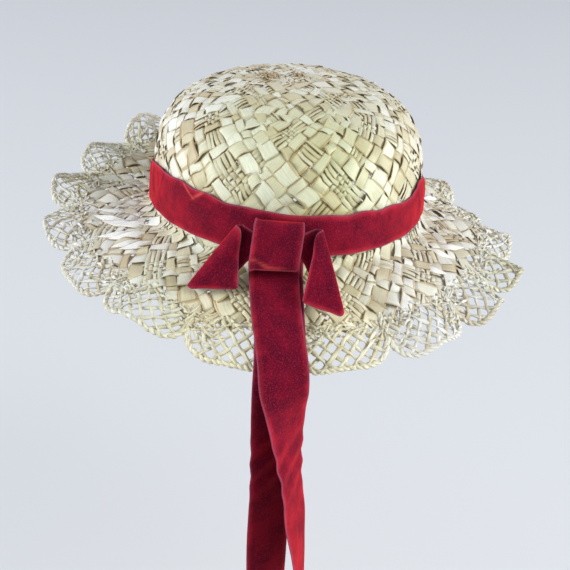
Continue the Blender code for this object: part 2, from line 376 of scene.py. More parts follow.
# line is a strand's spots, middle layer, normals and unit size, and strand is its family and row
def layStrand(look, line, heights, strand, chance):
    spots, middle, normals, cell = line
    family, _, _, value, width, thin = strand
    for size, length in look["drifts"]:
        middle = drift(middle, normals, size, length)
    points = moved(middle, normals, heights * look["swing"])
    half = width * look["thinFill" if thin else "wideFill"] * cell / math.sqrt(2) / 2
    amount, pace = look["widthWave"]
    half = half * (1 + amount * np.sin(spots * pace + value * 40 + family))
    pace, step = look["rollWave"]
    roll = look["thinRoll" if thin else "wideRoll"] * np.sin(spots * pace + value * step + family * 3)
    side = np.cross(np.gradient(points, axis=0), normals)
    normals = unit(moved(normals, unit(side), roll))
    tint = chance.uniform(*look["thinTints"]) if thin else chance.random() ** look["flatTintPower"]
    return newStrand(points, normals, half, look["thinThick" if thin else "flatThick"], tint, heights)


# The crown's weave. Its top is a square of straight strands, two units wide each way, laid on the
# dome, and its walls are the same strands running down at a slant round eight units.
crownWeave = {
    **weave,
    "seed": 5,
    "units": 8,
    "topArc": 0.066,  # how far from the apex the square reaches
    "topCell": 0.058,  # one unit on the square
    "below": 0.015,  # how far the strands run past the foot, in units
    "inset": 0.0010,  # the middle layer, inside the crown's outer surface
    "dive": 0.018,
    "groups": 10,
    "bundleShare": 0.25,  # widths of one run of groups, in units
    "wideShares": (0.155, 0.245, 0.140, 0.210),
    "wideFill": 0.98,
    "thinFill": 0.94,
    "wideRoll": 0.17,
    "drifts": ((0.0010, 0.045), (0.00028, 0.013)),
    "widthWave": (0.09, 23),
    "rollWave": (17, 91),
    "samples": 1441,
    "smoothing": 60,  # samples each way over which a unit changes from the square to the walls
}


def crownTable():
    rise = np.linspace(90, 0, crownWeave["samples"])
    lift = np.radians(rise)
    middle = (hat["halfX"] + hat["halfY"]) / 2
    radius = middle * np.abs(np.cos(lift)) ** (2 / hat["shoulderPower"])
    height = hat["height"] * np.sin(lift) ** (2 / hat["wallPower"])
    arc = np.append(0, np.cumsum(np.hypot(np.diff(radius), np.diff(height))))
    around = 2 * np.pi * radius / crownWeave["units"]
    onWall = arc > crownWeave["topArc"]
    steps = np.append(0, np.diff(arc)) / np.maximum(around, 1e-4)
    far = np.where(onWall, 1 + np.cumsum(np.where(onWall, steps, 0)), arc / crownWeave["topArc"])
    cell = np.where(onWall, around, crownWeave["topCell"])
    wide = 2 * crownWeave["smoothing"] + 1
    cell = np.convolve(np.pad(cell, crownWeave["smoothing"], "edge"), np.ones(wide) / wide, "valid")
    return far, rise, cell


# one strand's line. value is its offset on the square, turn its quarter, spot how far along it lies
def crownLine(value, turn, spot, table):
    far, rise, cell = table
    span = 2 - value
    p, q = value - 1 + spot, 1 - spot
    size = np.maximum(np.maximum(np.abs(p), np.abs(q)), 1e-6)
    around = np.where(q >= np.abs(p), 2 - p / size, q / size)
    around = np.where(spot < 0, 3 - value - spot, around)
    around = np.where(spot > span, value - 1 - (spot - span), around)
    out = np.where(spot < 0, 1 - spot, np.where(spot > span, 1 + spot - span, size))
    azimuth = 360 / crownWeave["units"] * (around + 2 * turn)
    points = crownPoint(azimuth, np.interp(out, far, rise))
    points[:, 2] -= np.maximum(out - far[-1], 0) * cell[-1]
    normals = crownNormal(points)
    return spot, points - normals * crownWeave["inset"], normals, np.interp(out, far, cell)


# On the walls one strand comes down to the left and the other to the right. Each pair may cross
# once either way round, and each crossing is its place, sign and the other's width.
def wallCrossings(strand, other, deepest):
    turn, group, member, value, _, thin = strand
    turn2, group2, member2, value2, width2, thin2 = other
    for mine in (True, False):
        low, high = (value, value2) if mine else (value2, value)
        lowTurn, highTurn = (turn, turn2) if mine else (turn2, turn)
        depth = ((low - 1 + 2 * lowTurn) - (3 - high + 2 * highTurn)) % crownWeave["units"] / 2
        if 1e-3 < depth < deepest:
            over = (member + member2 if thin and thin2 else group + group2) % 2 == 1
            yield 2 - value + depth if mine else -depth, 1 if over == mine else -1, width2


# on the top square the two families cross at right angles
def topCrossing(strand, other):
    turn, group, member, value, _, thin = strand
    turn2, group2, member2, value2, width2, thin2 = other
    if turn % 2 == turn2 % 2:
        return
    first, second = (turn, value), (turn2, value2)
    if turn % 2:
        first, second = second, first
    a = first[1] if first[0] == 0 else -first[1]
    b = second[1] if second[0] == 3 else -second[1]
    p, q = (a + b) / 2, (a - b) / 2
    if abs(p) < 1 and abs(q) < 1:
        for _ in range(turn):
            p, q = q, -p
        rank = group + group2 + (0 if (first[0] == 0) == (second[0] == 3) else 1)
        over = (member + member2 if thin and thin2 else rank) % 2 == 1
        yield p - (value - 1), 1 if over == (turn % 2 == 0) else -1, width2


def makeCrownStrands():
    chance = np.random.default_rng(crownWeave["seed"])
    table = crownTable()
    deepest = table[0][-1] - 1 + crownWeave["below"]
    groups = crownWeave["groups"]
    rows = [(turn, *row) for turn in range(4) for row in groupValues(crownWeave, groups, chance)]
    wide, fine = [], []
    for strand in rows:
        met = []
        for other in rows:
            met += wallCrossings(strand, other, deepest)
            met += topCrossing(strand, other)
        turn, _, _, value, _, thin = strand
        spots, heights = weaveHeights(*zip(*met), crownWeave["dive"], -deepest, 2 - value + deepest)
        line = crownLine(value, turn, spots, table)
        (fine if thin else wide).append(layStrand(crownWeave, line, heights, strand, chance))
    return wide + fine


# Two small knots of cut strands close the weave near its apex: x, y, reach and count of each.
apex = {
    "knots": [(-0.0155, 0.000, 0.0062, 26), (0.0028, 0.004, 0.0040, 12)],
    "seed": 3,
    "half": 0.00045,
    "thick": 0.0003,
    "lift": 0.0003,
    "bow": (0.0001, 0.0010),
    "tints": (0.85, 1.3),
    "hiddenShare": 0.4,  # of each strand, which is dark because it goes under
}


def makeApexStrands():
    chance = np.random.default_rng(apex["seed"])
    for x, y, reach, count in apex["knots"]:
        for number in range(count):
            turn = 2 * np.pi * (number + chance.uniform(-0.4, 0.4)) / count
            t = np.linspace(0, 1, 7)
            out = reach * (0.12 + chance.uniform(0.45, 1.0) * t)
            swirl = turn + chance.uniform(-0.9, 0.9) * t
            flat = np.stack([x + out * np.cos(swirl), y + 1.25 * out * np.sin(swirl)], -1)
            lift = apex["lift"] + chance.uniform(*apex["bow"]) * np.sin(np.pi * t)
            share = (flat[:, 0] / hat["halfX"]) ** 2 + (flat[:, 1] / hat["halfY"]) ** 2
            top = hat["height"] * (1 - share ** (hat["shoulderPower"] / 2)) ** (1 / hat["wallPower"])
            points = np.column_stack([flat, top + lift])
            lie = twisted(points, crownNormal(points), t * 5 + number, 0.8)
            tint = chance.uniform(*apex["tints"])
            # the hidden share is painted in shade, as it goes under
            shade = 0.6 - 1.6 * (t < apex["hiddenShare"])
            yield newStrand(points, lie, apex["half"], apex["thick"], tint, shade)


# The brim's weave runs in slanting strands from the crown's foot to the pierced border.
brimWeave = {
    **weave,
    "seed": 11,
    "periods": 12,
    "start": 0.0003,
    "end": 0.0432,
    "ragged": (-0.5, 0.6),
    "raggedReach": 0.02,
    "footSpots": (0.0014, 0.0028, 0.0046, 0.007),  # samples where the brim sweeps up
    "dive": 0.028,
    "bundleShare": 0.26,
    "wideShares": (0.150, 0.240, 0.145, 0.205),
    "wideFill": 1.02,
    "thinFill": 0.95,
    "wideRoll": 0.20,
    "drifts": ((0.0010, 0.05), (0.00028, 0.013)),
    "widthWave": (0.08, 31),
    "rollWave": (19, 57),
    "middle": 0.092,  # mean radius of the crown's foot
}


def brimDepth(distance):
    return brimWeave["periods"] / (2 * np.pi) * np.log(1 + distance / brimWeave["middle"])


def brimLine(azimuth, spots):
    distance = brimWeave["middle"] * (np.exp(spots * 2 * np.pi / brimWeave["periods"]) - 1)
    cell = 2 * np.pi * (brimWeave["middle"] + distance) / brimWeave["periods"]
    return spots, brimPoint(azimuth, distance), brimNormal(azimuth, distance), cell


def makeBrimStrands():
    chance = np.random.default_rng(brimWeave["seed"])
    periods = brimWeave["periods"]
    first, last = brimDepth(brimWeave["start"]), brimDepth(brimWeave["end"])
    foot = brimDepth(np.array(brimWeave["footSpots"]))
    families = [groupValues(brimWeave, 5 * periods, chance) for _ in range(2)]
    wide, fine = [], []
    for mine in range(2):
        for group, member, value, width, thin in families[mine]:
            met = []
            for group2, member2, value2, width2, thin2 in families[1 - mine]:
                depth = ((value - value2 if mine == 0 else value2 - value) % periods) / 2
                if first < depth < last:
                    over = (member + member2 if thin and thin2 else group + group2) % 2 == 1
                    met.append((depth, 1 if over == (mine == 0) else -1, width2))
            ragged = last + chance.uniform(*brimWeave["ragged"]) * brimWeave["raggedReach"]
            spots, heights = weaveHeights(*zip(*met), brimWeave["dive"], first, ragged)
            places = np.unique(np.concatenate([spots, foot]))
            heights = np.interp(places, spots, heights)
            line = brimLine(360 * (value - places if mine == 0 else value + places) / periods, places)
            strand = (mine, group, member, value, width, thin)
            (fine if thin else wide).append(layStrand(brimWeave, line, heights, strand, chance))
    return wide + fine


# Loose ends of wide straw that lie on the weave: azimuth, distance, length, slant and half width.
looseEnds = {
    "lift": (-0.0005, 0.0021, 0.35),  # where they leave the weave, how far, and by which share
    "sag": 0.0003,
    "taper": (0.85, 0.45, 1.5),
    "thick": 0.00016,
    # painted light: the loose ends are painted whiter than the weave, standing in for the strong light on
    # them
    "tint": -0.30,
    "roll": (0, 0.40, 0),  # towards the back, so that their width shows
    "rows": [
        (203, 0.014, 0.018, -6, 0.0030),
        (207, 0.018, 0.019, -4, 0.0026),
        (211, 0.012, 0.020, -5, 0.0031),
        (214, 0.019, 0.016, -3, 0.0024),
        (199, 0.020, 0.016, -5, 0.0027),
        (218, 0.015, 0.017, -4, 0.0028),
        (205, 0.008, 0.017, -5, 0.0029),
        (194, 0.016, 0.018, -5, 0.0027),
        (331, 0.016, 0.013, 3, 0.0027),
        (338, 0.020, 0.012, 4, 0.0024),
        (322, 0.022, 0.012, 3, 0.0026),
        (118, 0.015, 0.015, 4, 0.0024),
        (70, 0.018, 0.014, -4, 0.0024),
        (20, 0.014, 0.014, 5, 0.0025),
    ],
}


def makeLooseEnds():
    t = np.linspace(0, 1, 9)
    low, rise, share = looseEnds["lift"]
    lift = low + rise * np.clip(t / share, 0, 1) - looseEnds["sag"] * np.sin(np.pi * t)
    cut, start, power = looseEnds["taper"]
    taper = 1 - cut * np.clip((t - start) / (1 - start), 0, 1) ** power
    for number, (azimuth, distance, length, slant, half) in enumerate(looseEnds["rows"]):
        out, turn = distance + length * t, azimuth + slant * t
        points, normals = brimPoint(turn, out), brimNormal(turn, out)
        lie = unit(twisted(points, normals, t * 2 + number, 0.25) - np.array(looseEnds["roll"]))
        thick, tint = looseEnds["thick"], looseEnds["tint"]
        yield newStrand(moved(points, normals, lift), lie, half * taper, thick, tint, 0 * t + 0.8)


# The pierced border. One scallop is a fan of thin strands in a slanting net, a tangle where it
# leaves the close weave, a two-strand braid along its edge, and a twisted bundle in its notch.
lace = {
    "columns": 7,
    "rows": 3,
    "half": 0.00128,
    "thick": 0.00050,
    "swing": 0.00048,
    "netReach": 0.965,
    "netWidths": (0.8, 1.25),
    "tangles": 42,
    "tangleSpans": (0.08, 0.24),
    "tangleRises": (0.02, 0.26),
    "tangleBend": 0.09,
    "tangleWidths": (0.55, 1.1),
    "tangleLifts": (-0.0005, 0.0008),
    "tangleWave": 0.0005,
    "weaveSpan": (0.02, 0.9),
    "weaveStarts": (-0.12, 0.10),
    "cornerStarts": (-0.1, 0.55),
    "corner": 0.20,
    "braidHalf": 0.00112,
    "braidThick": 0.00060,
    "braidTurn": 0.0074,  # one full crossing of the two strands
    "picot": 0.0042,
    "picotHeight": 0.0005,
    "braidStart": 0.0445,
    "braidStep": 0.00085,
    "braidSwing": (0.00072, 0.0005),  # across and above
    "braidFill": 0.985,  # of the way from notch to notch
    "bundleStrands": 5,
    "bundleStart": 0.037,
    "bundleEnd": 0.0508,
    "bundleTurn": 0.017,
    "bundleSwing": (0.0016, 0.0007),
    "bundleLift": 0.0004,
    "bundleHalf": 0.00080,
    "bundleThick": 0.00045,
    "wobble": 0.00022,
    "seed": 100,
}


def scallopEdges(index):
    places = scallops[:, 0]
    before = (places[index] - places[index - 1]) % 360
    after = (places[(index + 1) % len(places)] - places[index]) % 360
    return places[index] - before / 2, places[index] + after / 2


# points and normals of one scallop, x from notch to notch and v from the close weave to the edge
def laceFrame(index, x, v):
    low, high = scallopEdges(index)
    x, v = np.broadcast_arrays(np.asarray(x, float), np.asarray(v, float))
    across = np.clip(np.abs(2 * x - 1), 0, 1)
    notch = hat["notchReach"]
    edge = notch + (scallops[index, 3] - notch) * np.sqrt(1 - across ** hat["scallopPower"])
    start = hat["laceStart"] + 0.0003
    distance = start + (edge - start) * v
    azimuth = low + (high - low) * x
    return brimPoint(azimuth, distance), brimNormal(azimuth, distance)


def netStrands(index, chance):
    columns, rows = lace["columns"], lace["rows"]
    deep = np.arange(0, 2 * rows + 1) / 2.0
    depths = np.sort(np.concatenate([deep, deep[:-1] + 0.25]))
    for slant, starts in ((1, range(1 - rows, columns)), (-1, range(1, columns + rows))):
        for k in starts:
            x = (k + slant * depths) / columns
            keep = (x >= 0.0) & (x <= 1.0)
            if keep.sum() < 4:
                continue
            depth, x = depths[keep], x[keep]
            v = np.clip(depth / rows, 0, lace["netReach"])
            points, normals = laceFrame(index, x, v - 0.05 * (v < 0.01))
            order = np.round(depth * 2).astype(int)
            sign = np.where((order + k) % 2 == 0, 1.0, -1.0) * slant
            heights = np.where(np.abs(depth * 2 - order) < 0.01, sign, 0.0)
            points = moved(points, normals, heights * lace["swing"])
            wobble = chance.normal(0, lace["wobble"], (len(points), 2))
            points = points + np.cross(unit(np.gradient(points, axis=0)), normals) * wobble[:, :1]
            half = lace["half"] * chance.uniform(*lace["netWidths"])
            turn = np.arange(len(points)) * 1.3 + chance.uniform(0, 6)
            lie = twisted(points, normals, turn, 0.8)
            yield newStrand(points, lie, half, lace["thick"], chance.random(), heights)


# every other tangled strand starts in a corner beside a notch, and the rest along the close weave
def tangleStrands(index, chance):
    t = np.linspace(0, 1, 11)
    for number in range(lace["tangles"]):
        if number % 2:
            x0, v0 = chance.uniform(*lace["weaveSpan"]), chance.uniform(*lace["weaveStarts"])
        else:
            x0 = chance.choice([0.0, 1 - lace["corner"]]) + chance.uniform(0, lace["corner"])
            v0 = chance.uniform(*lace["cornerStarts"])
        x1 = np.clip(x0 + chance.choice([-1, 1]) * chance.uniform(*lace["tangleSpans"]), 0, 1)
        v1 = v0 + chance.uniform(*lace["tangleRises"])
        x = np.clip(x0 + (x1 - x0) * t, 0, 1)
        bend = chance.uniform(-lace["tangleBend"], lace["tangleBend"])
        points, normals = laceFrame(index, x, v0 + (v1 - v0) * t + bend * np.sin(np.pi * t))
        lift = chance.uniform(*lace["tangleLifts"])
        wave = lace["tangleWave"] * np.sin(t * chance.uniform(5, 11) + number)
        points = moved(points, normals, lift + wave)
        lie = twisted(points, normals, t * 9 + number, 1.0)
        half = lace["half"] * chance.uniform(*lace["tangleWidths"])
        yield newStrand(points, lie, half, lace["thick"] * 0.8, chance.random(), 0 * t + 0.5)


def braidStrands(index, chance):
    low, high = scallopEdges(index)
    turn = np.linspace(0, np.pi, 400)
    spread = np.sign(-np.cos(turn)) * np.abs(np.cos(turn)) ** (2 / hat["scallopPower"])
    notch = hat["notchReach"]
    distance = notch + (scallops[index, 3] - notch) * np.sin(turn) - lace["braidHalf"]
    azimuth = (low + high) / 2 + (high - low) / 2 * spread * lace["braidFill"]
    lead = np.linspace(lace["braidStart"], distance[0], 30)[:-1]
    distance = np.concatenate([lead, distance, lead[::-1]])
    azimuth = np.pad(azimuth, len(lead), "edge")
    fine = brimPoint(azimuth, distance)
    arc = np.append(0, np.cumsum(np.linalg.norm(np.diff(fine, axis=0), axis=1)))
    spots = np.arange(0, arc[-1], lace["braidStep"])
    azimuth, distance = np.interp(spots, arc, azimuth), np.interp(spots, arc, distance)
    centre, normals = brimPoint(azimuth, distance), brimNormal(azimuth, distance)
    outward = np.cross(unit(np.gradient(centre, axis=0)), normals)
    away = unit(brimPoint(azimuth, distance + 0.001) - centre)
    outward *= np.sign(np.sum(outward * away, axis=1).sum())
    centre = moved(centre, outward, lace["picotHeight"] * np.abs(np.sin(np.pi * spots / lace["picot"])))
    across, above = lace["braidSwing"]
    for strand in range(2):
        phase = 2 * np.pi * spots / lace["braidTurn"] + np.pi * strand
        points = moved(centre, outward, across * np.sin(phase))
        points = moved(points, normals, above * np.cos(phase))
        half = lace["braidHalf"] * (1 + 0.12 * np.sin(spots * 900 + index))
        lie = twisted(points, normals, phase * 0.5, 0.5)
        tint = chance.uniform(0.2, 0.8)
        yield newStrand(points, lie, half, lace["braidThick"], tint, np.cos(phase))


def notchStrands(index, chance):
    low = scallopEdges(index)[0]
    distance = np.linspace(lace["bundleStart"], lace["bundleEnd"], 17)
    centre, normals = brimPoint(low, distance), brimNormal(low, distance)
    side = np.cross(unit(np.gradient(centre, axis=0)), normals)
    taper = 0.6 + 0.4 * np.sin(np.pi * np.linspace(0.05, 0.95, 17))
    across, above = lace["bundleSwing"]
    for number in range(lace["bundleStrands"]):
        share = number / lace["bundleStrands"]
        phase = 2 * np.pi * (share + (distance - distance[0]) / lace["bundleTurn"])
        wander = 1 + 0.4 * np.sin(distance * 700 + number * 2 + index)
        points = moved(centre, side, across * taper * wander * np.sin(phase))
        points = moved(points, normals, lace["bundleLift"] + above * taper * np.cos(phase))
        half, thick, tint = lace["bundleHalf"], lace["bundleThick"], chance.uniform(0.3, 0.8)
        yield newStrand(points, normals, half, thick, tint, np.cos(phase))


# Ribbon. Each piece is a run of rows, its two edges in millimetres, lofted on a smooth curve with
# the ribbon's thickness and round edges.
ribbonLook = {
    "width": 28.0,
    "thick": 0.00055,  # half of the ribbon's thickness
    "around": 56,
    "step": 0.0012,
    "sidePower": 0.8,
    "facePower": 0.4,
}

leftTail = [
    (-4.5, -112.6, 22.0, -4.5, -112.6, 9.0),
    (-16.0, -112.2, 22.5, -16.0, -112.2, 8.0),
    (-21.4, -109.0, 24.0, -27.0, -113.0, -3.0),
    (-24.6, -108.0, 24.4, -50.2, -113.8, -9.4),
    (-26.2, -110.8, 25.0, -51.9, -115.6, -10.4),
    (-24.2, -113.8, 24.6, -50.7, -117.2, -10.8),
    (-24.0, -116.4, 10.4, -42.0, -118.2, -10.4),
    (-23.8, -118.6, -2.4, -33.2, -119.2, -9.8),
    (-23.6, -120.3, -7.8, -25.6, -120.3, -9.0),
]
rightTail = [
    (-1.5, -112.6, 22.0, -1.5, -112.6, 9.0),
    (10.2, -112.2, 22.8, 10.2, -112.2, 7.0),
    (15.2, -109.4, 24.2, 15.2, -112.6, -1.0),
    (18.8, -109.6, 25.0, 31.4, -127.8, -11.2),
    (20.6, -111.9, 25.4, 34.6, -132.6, -14.2),
    (18.2, -113.8, 24.6, 33.8, -134.3, -15.0),
    (16.0, -118.6, 12.6, 26.6, -133.0, -14.0),
    (13.6, -124.2, 0.2, 19.2, -131.0, -12.9),
    (11.8, -128.2, -9.8, 13.0, -129.0, -11.4),
]

# A streamer's rows: x, y, z and turn where it hangs free, x, distance and turn where it rests.
frontStreamer = {
    "starts": [(-4.6, -106.7, 12.0, 0), (-4.6, -106.8, 2.4, 0)],
    "lift": 4.2,
    "rests": [(-4.5, 11, 0), (-3.8, 20, 0), (-2.6, 30, 0), (-0.8, 41, 0), (1.2, 50, 0), (3.2, 60, 2)],
    "hangs": [
        (4.8, -155.4, -53, 18),
        (6.4, -154.6, -65, 40),
        (9.0, -152.8, -88, 59),
        (12.2, -152.8, -111, 68),
        (15.0, -152.8, -131, 68),
        (17.6, -152.8, -150, 77),
        (20.2, -152.8, -177, 82),
    ],
}
backStreamer = {
    "starts": [(-2.5, -104.6, 12.0, 0), (-2.5, -104.7, 1.6, 0)],
    "lift": 2.5,
    "rests": [(-2.4, 11, 0), (-1.8, 20, 0), (-1.0, 30, 0), (0.2, 41, 0), (0.9, 50, 0), (1.2, 60, 2)],
    "hangs": [
        (0.8, -149.6, -54, 12),
        (-0.4, -148.4, -68, 30),
        (-0.8, -147.6, -88, 38),
        (-0.7, -147.0, -115, 40),
        (-0.2, -147.0, -150, 38),
        (0.1, -147.0, -177, 40),
    ],
}


def streamerRows(streamer):
    rows = list(streamer["starts"])
    for x, distance, turn in streamer["rests"]:
        here = brimPoint(270.0, distance / 1000) * 1000
        slope = unit(brimPoint(270.0, (distance + 1) / 1000) * 1000 - here)
        lift = streamer["lift"] + 0.03 * distance
        rows.append((x, here[1] + slope[2] * lift, here[2] - slope[1] * lift, turn))
    edges = []
    for x, y, z, turn in rows + streamer["hangs"]:
        turn = math.radians(turn)
        across = ribbonLook["width"] / 2 * np.array([math.cos(turn), math.sin(turn), 0])
        middle = np.array([x, y, z])
        edges.append((*(middle - across), *(middle + across)))
    return edges


# a ribbon's two edges on smooth curves through its rows, evenly stepped, in metres
def smoothRows(rows, closed=False):
    rows = np.array(rows, float) / 1000
    if closed:
        rows = np.concatenate([rows[-2:], rows, rows[:3]])
    spread = [np.linalg.norm(np.diff(edge, axis=0), axis=1) for edge in (rows[:, :3], rows[:, 3:])]
    place = np.append(0, np.cumsum((spread[0] + spread[1]) / 2))
    slopes = np.gradient(rows, place, axis=0)
    first, last = (place[2], place[-3]) if closed else (place[0], place[-1])
    count = max(int((last - first) / ribbonLook["step"]), 8)
    spots = np.linspace(first, last, count + 1)
    if closed:
        spots = spots[:-1]
    k = np.clip(np.searchsorted(place, spots, "right") - 1, 0, len(place) - 2)
    span = (place[k + 1] - place[k])[:, None]
    t = ((spots - place[k]) / span[:, 0])[:, None]
    curve = (2 * t**3 - 3 * t**2 + 1) * rows[k] + (t**3 - 2 * t**2 + t) * span * slopes[k]
    curve += (3 * t**2 - 2 * t**3) * rows[k + 1] + (t**3 - t**2) * span * slopes[k + 1]
    return curve[:, :3], curve[:, 3:]


# a closed loft between two edges. shape(across, along) pushes its middle layer out, in metres
def makeRibbon(name, left, right, finish, closed=False, shape=None):
    rows, around = len(left), ribbonLook["around"]
    turn = np.arange(around) * 2 * np.pi / around
    across = -np.sign(np.cos(turn)) * np.abs(np.cos(turn)) ** ribbonLook["sidePower"]
    lift = np.sign(np.sin(turn)) * np.abs(np.sin(turn)) ** ribbonLook["facePower"]
    share = (across[None, :, None] + 1) / 2
    middle = left[:, None, :] * (1 - share) + right[:, None, :] * share
    if closed:
        steps = [np.roll(edge, -1, 0) - np.roll(edge, 1, 0) for edge in (left, right)]
    else:
        steps = [np.gradient(edge, axis=0) for edge in (left, right)]
    along = steps[0][:, None, :] * (1 - share) + steps[1][:, None, :] * share
    normals = unit(np.cross((right - left)[:, None, :] + 0 * along, along))
    steps = np.linalg.norm(np.diff((left + right) / 2, axis=0), axis=1)
    length = np.append(0, np.cumsum(steps))
    acrossAll, alongAll = np.broadcast_arrays(across[None, :], length[:, None])
    if shape is not None:
        middle = middle + normals * shape(acrossAll, alongAll)[:, :, None]
    points = (middle + normals * (lift * ribbonLook["thick"])[None, :, None]).reshape(-1, 3)
    faces = []
    for i in range(rows if closed else rows - 1):
        k = (i + 1) % rows
        for j in range(around):
            n = (j + 1) % around
            faces.append((i * around + j, i * around + n, k * around + n, k * around + j))
    if not closed:
        faces += [tuple(reversed(range(around))), tuple((rows - 1) * around + j for j in range(around))]
    mesh = bpy.data.meshes.new(name)
    mesh.from_pydata(points, [], faces)
    mesh.materials.append(finish)
    mesh.shade_smooth()
    width = np.linalg.norm(right - left, axis=1)
    storeValues(mesh, "across", acrossAll)
    storeValues(mesh, "along", alongAll)
    storeValues(mesh, "inset", (1 - np.abs(acrossAll)) * width[:, None] / 2)
    piece = addObject(name, mesh)
    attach(piece, "root")
    area = sum(face.area for face in mesh.polygons) / 2
    print(name, "flat size", round(width.mean(), 4), round(area / width.mean(), 4))
    return piece, (float(width.mean()), float(area / width.mean()))


# The band lies higher at the left and dips at both sides: azimuth, and the heights of its edges.
bandEdges = np.array([
    (2, 4.4, 23.2),
    (60, 4.3, 29.6),
    (110, 4.3, 29.8),
    (172, 4.4, 24.0),
    (206, 8.2, 34.3),
    (224, 7.9, 34.6),
    (256, 6.6, 30.6),
    (276, 5.9, 28.6),
    (300, 5.2, 27.8),
    (330, 5.6, 26.0),
    (340, 6.6, 31.8),
], dtype=float)


def bandHeights(azimuth):
    row, _ = betweenRows(bandEdges, azimuth)
    return row[:, 1] / 1000, row[:, 2] / 1000


bandLook = {
    "samples": 640,
    "standOff": (0.0016, 0.0006),  # of the lower edge and of the upper
    "overhang": 0.0006,
    "ripple": 0.00035,
    "slack": 0.00025,
    "fullness": 0.0006,
    "sharp": 0.00055,  # pleats higher than this get a painted highlight along them
}
# Pleats that run down from the band's upper edge, in metres along the band: place, slant, width,
# height, and how much of the band's half width they reach down.
bandPleats = [
    (0.327, 0.003, 0.0024, 0.0005, 1.4),
    (0.335, 0.008, 0.0018, 0.0004, 1.6),
    (0.349, -0.004, 0.0018, 0.0004, 1.2),
    (0.3725, 0.0253, 0.0011, 0.0007, 0.52),
    (0.3906, -0.0200, 0.0014, 0.0006, 0.52),
    (0.5445, 0.0070, 0.0020, 0.0005, 1.5),
    (0.578, 0.004, 0.0024, 0.0004, 1.2),
]


def pleatLines(across, along):
    lines = []
    for place, slant, width, height, reach in bandPleats:
        line = np.exp(-(((along - place - slant * (across + 1)) / width) ** 2))
        lines.append((height, line * np.clip((reach - across - 1) / 0.25, 0, 1)))
    return lines


def makeBand(finish):
    turn = np.linspace(0, 360, bandLook["samples"], endpoint=False)
    low, high = bandHeights(turn)
    ripple = bandLook["ripple"] * np.sin(np.radians(turn * 23)) * (1 + np.sin(np.radians(turn * 5)))
    lower = wallPoint(turn, bandLook["standOff"][0], low - bandLook["overhang"])
    upper = wallPoint(turn, bandLook["standOff"][1], high + bandLook["overhang"] + ripple)

    # fuller over the middle of its width, and slack near its lower edge
    def ease(across, along):
        slack = bandLook["slack"] * np.sin(along * 260 + 2.5 * across) * (1 + across) / 2
        pleats = sum(height * line for height, line in pleatLines(across, along))
        return slack + bandLook["fullness"] * (1 - across**2) + pleats

    piece, flat = makeRibbon("band_ribbon", upper, lower, finish, True, ease)
    # the sharpest pleats carry a painted highlight along them
    lines = pleatLines(valuesOf(piece, "across"), valuesOf(piece, "along"))
    storeValues(piece.data, "creaseHighlight", sum(line * (height > bandLook["sharp"]) for height, line in lines))
    return piece, flat


# the streamers ripple a little, and the front one is creased aslant where it turns
streamerLook = {"ripple": 0.00035, "creasePlace": 0.130, "creaseReach": 0.020, "crease": 0.00065}


def streamerShape(across, along):
    ripple = streamerLook["ripple"] * np.sin(along * 85 + 1.1 * across) * np.clip(along / 0.1 - 0.6, 0, 1)
    reach = (along - streamerLook["creasePlace"]) / streamerLook["creaseReach"]
    crease = np.exp(-(reach**2)) * np.sin(along * 430 + across * 3.4)
    return ripple + streamerLook["crease"] * np.sign(crease) * np.abs(crease) ** 1.4


# The knot is a loop, closed in y and z, that leans to the left as it comes down, with its lower
# lip a little forward. All is in millimetres.
knotLook = {
    "loop": [
        (4.0, 0.0), (3.4, 9.8), (1.8, 12.6), (-1.8, 13.0), (-3.9, 11.6), (-4.7, 4.0),
        (-4.8, -4.0), (-5.3, -10.2), (-5.0, -12.6), (-3.0, -13.5), (1.6, -12.8), (3.4, -10.0),
    ],
    "centre": (-113.0, 15.7),
    "lean": (0.09, 13.0),
    "half": 13.7,
    "narrowing": (0.9, 13.4),
    "leftShift": -3.0,
    "rightShift": -2.4,
    "lip": (-117.0, 3.6),
    "line": (4.6, -4.0, 11.0),
    "lineShare": 0.6,
    "roll": 0.0013,
    "rollFrom": 0.72,
    "fullness": 0.0003,
    "ripple": 0.00015,
}


def makeKnot(finish):
    look = knotLook
    rows = []
    for y, z in look["loop"]:
        lean = look["lean"][0] * (z - look["lean"][1])
        half = look["half"] - look["narrowing"][0] * (abs(z) / look["narrowing"][1]) ** 8
        back, level = y + look["centre"][0], z + look["centre"][1]
        leftEnd, rightEnd = lean + look["leftShift"] - half, lean + look["rightShift"] + half
        rows.append((leftEnd, back, level, rightEnd, back, level))
    left, right = smoothRows(rows, closed=True)

    # its left edge rolls back, and its middle is a little full
    def loosen(across, along):
        rolled = np.clip((-across - look["rollFrom"]) / (1 - look["rollFrom"]), 0, 1) ** 1.5
        ripple = look["ripple"] * np.sin(along * 400 + 3 * across)
        return -look["roll"] * rolled - look["fullness"] * across**2 + ripple

    piece, flat = makeRibbon("knot_ribbon", left, right, finish, True, loosen)
    # the ribbon's woven end shows along the lower lip, which also takes the painted edge highlight
    x, y, z = np.array([vertex.co for vertex in piece.data.vertices]).T * 1000
    lipBack, lipTop = look["lip"]
    inset = valuesOf(piece, "inset")
    inset[(y < lipBack) & (z < lipTop)] = 0.0003
    storeValues(piece.data, "inset", inset)
    # and a painted highlight line, along a crease, curves down to it from the left edge
    rise, start, reach = look["line"]
    drop = lipTop + rise * np.clip((start - x) / reach, 0, 1) ** 1.6
    creaseHighlight = look["lineShare"] * np.exp(-((z - drop) ** 2)) * np.clip((4.0 - x) / 5.0, 0, 1)
    storeValues(piece.data, "creaseHighlight", creaseHighlight * (y < look["centre"][0] - 1))
    return piece, flat


def readAttribute(tree, name):
    return addNode(tree, "ShaderNodeAttribute", {}, attribute_name=name)["Fac"]


def noiseNode(vector, scale, detail, roughness=0.5):
    inputs = {"Vector": vector, "Scale": scale, "Detail": detail, "Roughness": roughness}
    return addNode(vector.id_data, "ShaderNodeTexNoise", inputs)["Fac"]


def times(first, second, clamp=False):
    return mathNode("MULTIPLY", first, second, clamp=clamp)


def plus(first, second, clamp=False):
    return mathNode("ADD", first, second, clamp=clamp)


